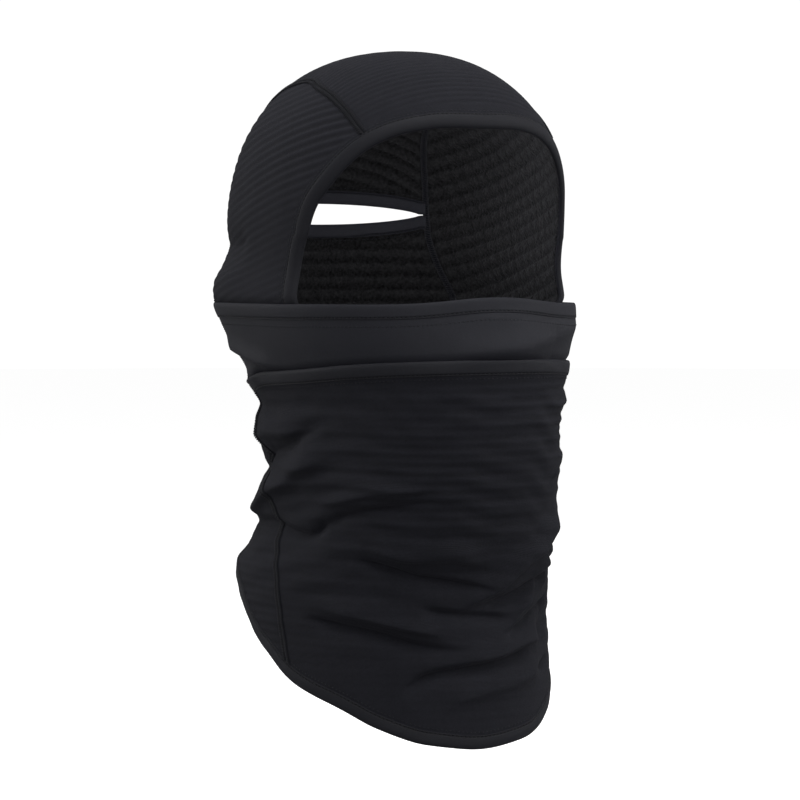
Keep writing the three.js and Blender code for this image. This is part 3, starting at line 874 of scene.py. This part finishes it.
def knitted(name, spots, lift, grain, rows, bare=(9, 9, 2, 2), strength=1.0):
    """A panel of grid fleece. `bare` is how wide the flat margins are, on its four sides,
    and `strength` is how far its ribs stand out."""
    cut(spots, lift)
    points = worn(spots)
    a, b = grain(spots, points)
    fade = np.ones(a.shape)
    for distance, margin in zip(edge_distances(points), bare):
        fade = fade * smooth(margin - 2.5, margin + 1.5, distance)
    rib, block = ribs(a, b), pile(a, b, rows)
    tuft = FUZZ.normal(0, 1, a.shape)
    tuft = 0.6 * tuft + 0.4 * (np.roll(tuft, 1, 0) + np.roll(tuft, 1, 1))
    stands = fade * strength * patches(a, b)
    outer = lift + FLEECE / 2 + RIB_RISE * stands * (rib - 0.6)
    inner = lift - FLEECE / 2 - fade * (PILE_RISE * (block - 0.35) + 0.09 * tuft)
    # The next two marks make the colour lighter on the rib tops and pile rows: painted highlight.
    rise = 0.5 + stands * (rib - 0.5)
    pile_painted_highlight = block * fade + 0.3 * (1 - fade)
    return shell(name, skin(spots, inner), skin(spots, outer), [FACE, PILE], (a, b),
                 rise, pile_painted_highlight)


def plain(name, spots, lift, thickness, material, grain):
    cut(spots, lift)
    points = worn(spots)
    a, b = grain(spots, points)
    inner, outer = skin(spots, lift - thickness / 2), skin(spots, lift + thickness / 2)
    even = np.full(a.shape, EVEN)
    return shell(name, inner, outer, [material, material], (a, b), even, even)


def cut(spots, lift):
    """Width, length and area of a panel's flat cut, in metres: its middle surface along
    its longest row and column, with the slack that its folds take up."""
    points = skin(spots, lift) * MM
    width = np.linalg.norm(np.diff(points, axis=1), axis=-1).sum(1).max()
    length = np.linalg.norm(np.diff(points, axis=0), axis=-1).sum(0).max()
    first, second = points[1:, 1:] - points[:-1, :-1], points[1:, :-1] - points[:-1, 1:]
    area = np.linalg.norm(np.cross(first, second), axis=-1).sum() / 2
    return {"flat": (round(width, 3), round(length, 3)), "area": round(area, 4)}


def placed(piece, body, slot, *nodes):
    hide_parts(*nodes)
    if body == "root":
        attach(piece, body)
    return piece


# ---- hood ----
def crown_cloth():
    top, bottom = face_line(FACE_HOLD), slit_line(1, TAPE_HOLD)
    sides = [seam_line(side, TO_BACK) for side in (RIGHT, LEFT)]
    right, left = (between(side, top, bottom) for side in sides)
    spots = grid(between(top, *sides), between(bottom, *sides), right, left)
    made = knitted("crown_cloth", spots, flat(spots), crown_grain, rows=0.85)
    return placed(made, "root", "grid_fleece", "crown_panel")


def back_cloth():
    top, bottom = slit_line(-1, TAPE_HOLD), hem_line(TAPE_HOLD)
    sides = [seam_line(side, TO_BACK) for side in (RIGHT, LEFT)]
    right, left = (between(side, top, bottom) for side in sides)
    spots = grid(between(top, *sides), between(bottom, *sides), right, left)
    made = knitted("back_cloth", spots, flat(spots), neck_grain, rows=0.85, strength=0.55)
    return placed(made, "root", "grid_fleece", "back_panel")


def hood_side_cloth(side, word):
    bottom = level(HOOD_BOTTOM, side * 60, side * 170)
    face, seam = face_line(FACE_HOLD), seam_line(side, TO_FACE)
    front, back = between(face, seam, bottom), between(seam, face, bottom)
    rows = counted(back, STEP)
    spots = strip(resampled(front, count=rows), resampled(back, count=rows),
                  counted_width(front, back))
    spots = np.swapaxes(spots, 0, 1)
    made = knitted(f"hood_side_{word}_cloth", spots, hood_lift(spots), side_grain, rows=0.6,
                   bare=(0, 3, 7, 2))
    return placed(made, "root", "grid_fleece", f"hood_side_{word}")


def counted_width(first, second):
    widest = np.linalg.norm(worn(first) - worn(second), axis=1).max()
    return max(2, round(widest * 1.08 / STEP))


# ---- mask and gaiter ----
def mask_cloth():
    top, bottom = trimmed(mask_line(TAPE_HOLD), TO_FACE), trimmed(level(MASK_BOTTOM), TO_FACE)
    right, left = (between(seam_line(side, TO_FACE), mask_line(TAPE_HOLD), level(MASK_BOTTOM))
                   for side in (RIGHT, LEFT))
    spots = grid(top, bottom, right, left, 1.1)
    made = plain("mask_cloth", spots, mask_lift(spots), JERSEY, MASK_CLOTH, front_grain)
    return placed(made, "mask_edge", "mask_jersey", "mask_panel")


def gaiter_cloth():
    top, bottom = gaiter_line(TAPE_HOLD), hem_from_back(TAPE_HOLD)
    sides = [seam_line(side, TO_FACE) for side in (RIGHT, LEFT)]
    right, left = (between(side, top, bottom) for side in sides)
    spots = grid(between(top, *sides), between(bottom, *sides), right, left)
    angle, height, _ = polar(spots)
    strength = 0.28 + 0.5 * smooth(-185, -120, height) * smooth(-85, -10, angle)
    made = knitted("gaiter_cloth", spots, gaiter_lift(spots), front_grain, rows=0.6,
                   strength=strength)
    return placed(made, "gaiter_edge", "grid_fleece", "gaiter_panel")


# ---- tapes ----
STITCH_LINE = 0.885  # where a tape's stitches lie, as a share of its width
# Half a folded tape's section, from its sewn edge to its fold: how far from the fold and
# from the middle its outer face is, then its inner face, as shares of width and thickness
TAPE_SECTION = [
    (1.0, 0.56, 1.0, 0.42), (0.985, 0.8, 0.985, 0.42), (0.95, 0.9, 0.95, 0.42),
    (0.915, 0.8, 0.915, 0.42), (0.885, 0.6, 0.885, 0.42), (0.855, 0.8, 0.855, 0.42),
    (0.84, 0.94, 0.84, 0.42),
    (0.79, 1.0, 0.79, 0.43), (0.66, 1.05, 0.66, 0.45), (0.48, 1.08, 0.48, 0.47),
    (0.3, 1.06, 0.33, 0.47), (0.16, 0.92, 0.23, 0.4), (0.06, 0.62, 0.17, 0.25),
    (0.012, 0.28, 0.15, 0.1),
]


TAPE_STEP = 1.6


def tape_section(width, thickness):
    half = np.array(TAPE_SECTION)
    turned = half[::-1] * [1, -1, 1, -1]
    whole = np.vstack([half, turned]) * [width, thickness / 2, width, thickness / 2]
    return np.vstack([whole[:, :2], whole[::-1, 2:]])


def tape(name, line_at, lift, width, thickness, closed, material, curl):
    """A tape folded over an edge, which sinks by `curl` at the fold. line_at gives the line
    at a width from the edge."""
    low, high = line_at(0.0), line_at(width)
    count = counted(low, TAPE_STEP)
    low, high = resampled(low, count=count), resampled(high, count=count)
    section_points = tape_section(width, thickness)
    share = (section_points[:, 0] / width)[None, :, None]
    spots = low[:, None] * (1 - share) + high[:, None] * share
    depth = np.broadcast_to(section_points[None, :, 1], spots.shape[:2])
    run = np.r_[0, np.cumsum(np.linalg.norm(np.diff(worn(low), axis=0), axis=1))]
    b = np.broadcast_to(run[:, None], depth.shape)
    a = np.broadcast_to(section_points[None, :, 0], depth.shape)
    sunk = curl * (1 - np.minimum(share[..., 0], 1)) ** 2
    rings = skin(spots, lift(spots) + depth - sunk)
    if closed:
        rings, a, b = rings[:-1], a[:-1], b[:-1]
    # The colour mark is darker in the stitch groove: painted shade.
    groove = np.exp(-(((a / width - STITCH_LINE) * width / 0.45) ** 2))
    marks = np.stack([a.ravel(), b.ravel(), (EVEN - 0.7 * groove).ravel()], -1)
    quads = ring_quads(*rings.shape[:2], closed)
    return new_mesh(name, rings.reshape(-1, 3), quads, [material], None, {"cloth": marks})


def spots_at(line, shares):
    """Places at shares of a line's length over the cloth."""
    length = np.r_[0, np.cumsum(np.linalg.norm(np.diff(worn(line), axis=0), axis=1))]
    at = shares * length[-1]
    return np.stack([np.interp(at, length, line[:, k]) for k in range(2)], -1)


def threads(paths, lifts, across, up, slot=0):
    """Short rounded rods, one for each path on the map: points, faces and material. `across`
    and `up` are their half sizes; `lifts` is their middle's height over the worn shape."""
    sides = 6
    centres = skin(paths, lifts)
    along = np.gradient(centres, axis=1)
    along /= np.linalg.norm(along, axis=-1, keepdims=True)
    aside = np.cross(slopes(paths)[2], along)
    aside /= np.linalg.norm(aside, axis=-1, keepdims=True)
    normal = np.cross(along, aside)
    count, stations = paths.shape[:2]
    taper = np.sin(np.linspace(0.16, 1 - 0.16, stations) * np.pi) ** 0.5
    turn = (np.arange(sides) + 0.5) / sides * 2 * np.pi
    wide = (across * taper)[None, :, None, None] * np.cos(turn)[None, None, :, None]
    tall = (up * taper)[None, :, None, None] * np.sin(turn)[None, None, :, None]
    points = centres[:, :, None] + aside[:, :, None] * wide + normal[:, :, None] * tall
    starts = np.arange(count) * stations * sides
    quads = ring_quads(stations, sides)[None] + starts[:, None, None]
    return points.reshape(-1, 3), quads.reshape(-1, 4), slot


def thread_piece(name, parts, materials):
    """One mesh from several sets of threads, each with the number of its material."""
    base, quads, slots = 0, [], []
    for points, faces, slot in parts:
        quads.append(faces + base)
        slots.append(np.full(len(faces), slot))
        base += len(points)
    points = np.vstack([part[0] for part in parts])
    marks = np.stack([points[:, 0] + points[:, 1], points[:, 2], np.full(len(points), EVEN)], -1)
    return new_mesh(name, points, np.vstack(quads), materials, np.concatenate(slots),
                    {"cloth": marks})


def row_of_stitches(line, lift, height, pitch=2.2, length=1.35, across=0.34, up=0.34,
                    dip=0.2, slot=0):
    """Stitches end to end along a line, which dip into the cloth at both ends."""
    total = length_of(line)
    count = round(total / pitch)
    starts = (np.arange(count) + 0.5) / count
    spread = np.linspace(-0.5, 0.5, 5) * length / total
    shares = np.clip(starts[:, None] + spread[None], 0, 1)
    paths = spots_at(line, shares)
    sag = dip * (np.linspace(-1, 1, 5) ** 2)[None]
    return threads(paths, lift(paths) + height - sag, across, up, slot)


SECOND_ROW = 1.5  # the coverstitch's second row, beyond the tape


def coverstitch(name, line_at, lift, width, thickness, second=SECOND_ROW, cloth=FLEECE):
    rows = []
    for side in (1, -1):
        rows.append(row_of_stitches(line_at(width * STITCH_LINE), lift,
                                    side * (thickness / 2 * 0.6 + 0.12)))
        rows.append(row_of_stitches(line_at(width + second), lift, side * cloth / 2,
                                    length=1.1, across=0.3, up=0.24, slot=1))
    return thread_piece(name, rows, [SEAM_THREAD, THREAD])


def bound_edge(word, line_at, lift, width=TAPE_WIDTH, thickness=TAPE, closed=False,
               body="root", slot="binding_tape", material=TAPE_CLOTH, curl=0.0, **extra):
    made = tape(f"{word}_tape", line_at, lift, width, thickness, closed, material, curl)
    sewn = coverstitch(f"{word}_thread", line_at, lift, width, thickness, **extra)
    placed(made, body, slot, f"{word}_binding")
    placed(sewn, body, "sewing_thread", f"{word}_stitching")
    return made, sewn


# ---- flatlock seams ----
BAR_PITCH = 1.3
SEAM_HALF = 2.1


def seam_deep(spots):
    """How far inside the worn shape the innermost sewn layer's inner face is."""
    deeper = HOOD_AT_MASK_SEAM * under(mask_top, -BELOW_EDGE, spots)
    deeper = deeper + HOOD_AT_GAITER_SEAM * under(gaiter_top, TUCK, spots)
    fade = smooth(HOOD_BOTTOM - 12, HOOD_BOTTOM + 2, polar(spots)[1])
    return -(deeper * fade + FLEECE / 2)


def seam_parts(side, start, end):
    middle = between(SEAMS[side], start, end)
    total = length_of(middle)
    count = round(total / BAR_PITCH)
    shares = (np.arange(count) + 0.5) / count
    edge = {w: between(shifted(SEAMS[side], w), start, end) for w in (-SEAM_HALF, SEAM_HALF)}
    parts = []
    slant = 1.0 / total
    t = np.linspace(0, 1, 5)[None, :, None]
    arch = np.sin(np.linspace(0.08, 0.92, 5) * np.pi)[None]
    for w, line in edge.items():
        inner_end = spots_at(middle, shares)[:, None]
        outer_end = spots_at(line, np.clip(shares + slant, 0, 1))[:, None]
        t_side = 0.1 + 0.9 * t
        paths = inner_end * (1 - t_side) + outer_end * t_side
        parts.append(threads(paths, FLEECE / 2 + 0.1 + 0.45 * arch, 0.4, 0.3))
        level_end = spots_at(line, shares)[:, None]
        t_in = 0.05 + 0.75 * t
        paths = inner_end * (1 - t_in) + level_end * t_in
        parts.append(threads(paths, seam_deep(paths) - 0.06 - 0.4 * arch, 0.4, 0.3, slot=2))
    for w in (-0.74, 0.74):
        line = spots_at(middle, np.linspace(0, 1, COUNT + 1))
        other = spots_at(edge[np.sign(w) * SEAM_HALF], np.linspace(0, 1, COUNT + 1))
        rail = line * (1 - abs(w)) + other * abs(w)
        parts.append(row_of_stitches(rail, seam_deep, -0.1, pitch=2.4, length=2.2,
                                     across=0.36, up=0.4, dip=0.1, slot=2))
    return parts


# How far aside and how tall, as shares: a low strip with a groove down its middle
BAND_SECTION = np.array([
    (-1, 0), (-0.9, 0.7), (-0.5, 1), (-0.12, 1), (0, 0.25), (0.12, 1), (0.5, 1), (0.9, 0.7),
    (1, 0),
])


def band(side, start, end, base, half, height):
    """The dense bed of thread under the bars: a flat closed strip."""
    middle = between(SEAMS[side], start, end)
    share = np.linspace(0, 1, counted(middle, TAPE_STEP) + 1)
    lines = {w: spots_at(between(shifted(SEAMS[side], w), start, end), share)
             for w in (-half, half)}
    aside, tall = BAND_SECTION.T
    t = (np.r_[aside, aside[::-1]][None, :, None] + 1) / 2
    spots = lines[-half][:, None] * (1 - t) + lines[half][:, None] * t
    rings = skin(spots, base(spots) + height * np.r_[tall, np.full(len(tall), -1.0)][None])
    return rings.reshape(-1, 3), ring_quads(*rings.shape[:2]), 1


def seam_piece(name, side, start, end, node):
    parts = seam_parts(side, start, end)
    parts.append(band(side, start, end, lambda s: flat(s) + FLEECE / 2 + 0.02, 1.75, 0.15))
    parts.append(band(side, start, end, lambda s: seam_deep(s) - 0.05, 1.9, 0.2))
    made = thread_piece(name, parts, [SEAM_THREAD, THREAD, INNER_THREAD])
    return placed(made, "root", "sewing_thread", node)


SEAM_SPLIT = -29.0


def build():
    crown, back = crown_cloth(), back_cloth()
    for side, word in ((RIGHT, "right"), (LEFT, "left")):
        hood_side_cloth(side, word)
        split = level(SEAM_SPLIT, side * 60, side * 170)
        seams = [
            seam_piece(f"crown_flatlock_{word}", side, face_line(TAPE_WIDTH), split,
                       f"crown_seam_{word}"),
            seam_piece(f"neck_flatlock_{word}", side, split, hem_line(HEM_WIDTH),
                       f"neck_seam_{word}"),
        ]
    face = bound_edge("face", face_line, hood_lift, curl=FACE_CURL)
    upper = bound_edge("slit_upper", lambda w: trimmed(slit_line(1, w), TO_BACK), flat,
                       material=SLIT_TAPE_PAINTED_LIGHT)
    lower = bound_edge("slit_lower", lambda w: trimmed(slit_line(-1, w), TO_BACK), flat,
                       material=SLIT_TAPE_PAINTED_LIGHT)
    hem = bound_edge("hem", hem_line, flat, HEM_WIDTH, closed=True)
    mask = mask_cloth()
    mask_edge = bound_edge("mask", lambda w: trimmed(mask_line(w), TO_FACE), mask_lift,
                           thickness=MASK_TAPE, body="mask_edge", slot="mask_jersey",
                           material=MASK_CLOTH, second=3.4, cloth=JERSEY)
    gaiter = gaiter_cloth()
    gaiter_edge = bound_edge("gaiter", lambda w: trimmed(gaiter_line(w), TO_FACE),
                             gaiter_lift, body="gaiter_edge")
    return [mask, *mask_edge], [gaiter, *gaiter_edge]


mask_pieces, gaiter_pieces = build()


# ---- the mask and gaiter pieces, with their transforms baked ----
def bend(pieces, slope, end):
    """Bakes each piece's transform into its mesh; the cloth is not bent.
    `slope` and `end` are not used."""
    slope, end = np.array(slope), np.array(end)
    for one in pieces:
        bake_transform(one)


bend(mask_pieces, (0, -1 / 125, 1 / 26), (0, -105, -43))
bend(gaiter_pieces, (0, -1 / 165, 1 / 125), (0, -105, -65))


# ---- studio ----
AZIMUTH, ELEVATION = math.radians(28), math.radians(2.5)
DISTANCE = 1.6
LENS = 139.8
AIM = np.array([0.7, -0.4, -85.0]) * MM


def camera():
    data = bpy.data.cameras.new("camera")
    data.lens, data.sensor_width = LENS, 36
    made = added("camera", data)
    flat_part = math.cos(ELEVATION)
    look = np.array([math.sin(AZIMUTH) * flat_part, math.cos(AZIMUTH) * flat_part,
                     -math.sin(ELEVATION)])
    made.location = AIM - look * DISTANCE
    made.rotation_euler = (math.pi / 2 - ELEVATION, 0, -AZIMUTH)
    bpy.context.scene.camera = made


def stage_mesh(name, points, faces, colour, glow):
    """A matt white surface, lit from within as well, that gives the object no light."""
    material = bpy.data.materials.new(name)
    material.use_nodes = True
    settle(material.node_tree.nodes["Principled BSDF"], Base_Color=(*colour, 1), Roughness=1.0,
           Specular_IOR_Level=0.0, Emission_Color=(1, 1, 1, 1), Emission_Strength=glow)
    mesh = bpy.data.meshes.new(name)
    mesh.from_pydata([tuple(p) for p in points], [], faces)
    mesh.materials.append(material)
    made = added(name, mesh)
    made.visible_diffuse = False
    made.visible_glossy = False
    made.visible_shadow = False


DROP = 45 * MM  # the worn piece is held above the floor, as a head holds it
ROOM = 7.0


def floor():
    """A pale floor that glows a little, so that it runs into the backdrop."""
    z = cad_low[2] - DROP
    corners = [(-ROOM, -ROOM, z), (ROOM, -ROOM, z), (ROOM, ROOM, z), (-ROOM, ROOM, z)]
    stage_mesh("floor", corners, [(0, 1, 2, 3)], (0.9, 0.9, 0.9), 0.8)


def backdrop():
    """A white dome round the object and the camera."""
    turns, ups = 32, 16
    turn, up = (v.ravel() for v in np.meshgrid(2 * np.pi * np.arange(turns) / turns,
                                               np.pi * np.arange(ups + 1) / ups))
    points = ROOM * np.stack([np.sin(up) * np.cos(turn), np.sin(up) * np.sin(turn), np.cos(up)], -1)
    quads = grid_quads(ups + 1, turns, closed=True)
    stage_mesh("backdrop", points, [tuple(int(k) for k in q) for q in quads], (0, 0, 0), 1.05)


def area_light(name, azimuth, elevation, distance, size, power):
    """A soft light that faces the object. Azimuth 0 is in front of the face, positive to
    the wearer's left."""
    data = bpy.data.lights.new(name, "AREA")
    data.shape = "RECTANGLE"
    data.size, data.size_y = size
    data.energy = power
    made = added(name, data)
    a, e = math.radians(azimuth), math.radians(elevation)
    away = np.array([math.sin(a) * math.cos(e), -math.cos(a) * math.cos(e), math.sin(e)])
    made.location = AIM + away * distance
    made.rotation_euler = (math.pi / 2 - e, 0, a)


def inside_light():
    """A faint light in the head space, which opens up the dark inner faces."""
    data = bpy.data.lights.new("inside", "AREA")
    data.size = 0.1
    data.energy = 0.08
    made = added("inside", data)
    made.location = (0, -30 * MM, 15 * MM)
    made.rotation_euler = (math.pi / 2, 0, -AZIMUTH)
    made.visible_camera = False
    made.visible_glossy = False


def studio():
    world = bpy.data.worlds.new("studio")
    bpy.context.scene.world = world
    world.use_nodes = True
    settle(world.node_tree.nodes["Background"], Color=(1, 1, 1, 1), Strength=0.2)
    area_light("front", -28, 5, 1.5, (1.0, 1.0), 5.0)
    area_light("front_top", -28, 50, 1.5, (0.9, 0.7), 6)
    area_light("top", 0, 80, 1.4, (1.2, 1.0), 9.2)
    area_light("front_left", 20, 20, 1.5, (0.6, 1.2), 4)
    area_light("side_left", 65, 20, 1.5, (0.5, 1.4), 7.5)
    area_light("side_right", -100, 15, 1.5, (0.5, 1.4), 1.5)
    area_light("back_right", -135, 20, 1.5, (0.5, 1.4), 6)
    inside_light()
    bpy.context.scene.view_settings.view_transform = "Standard"


camera()
floor()
backdrop()
studio()
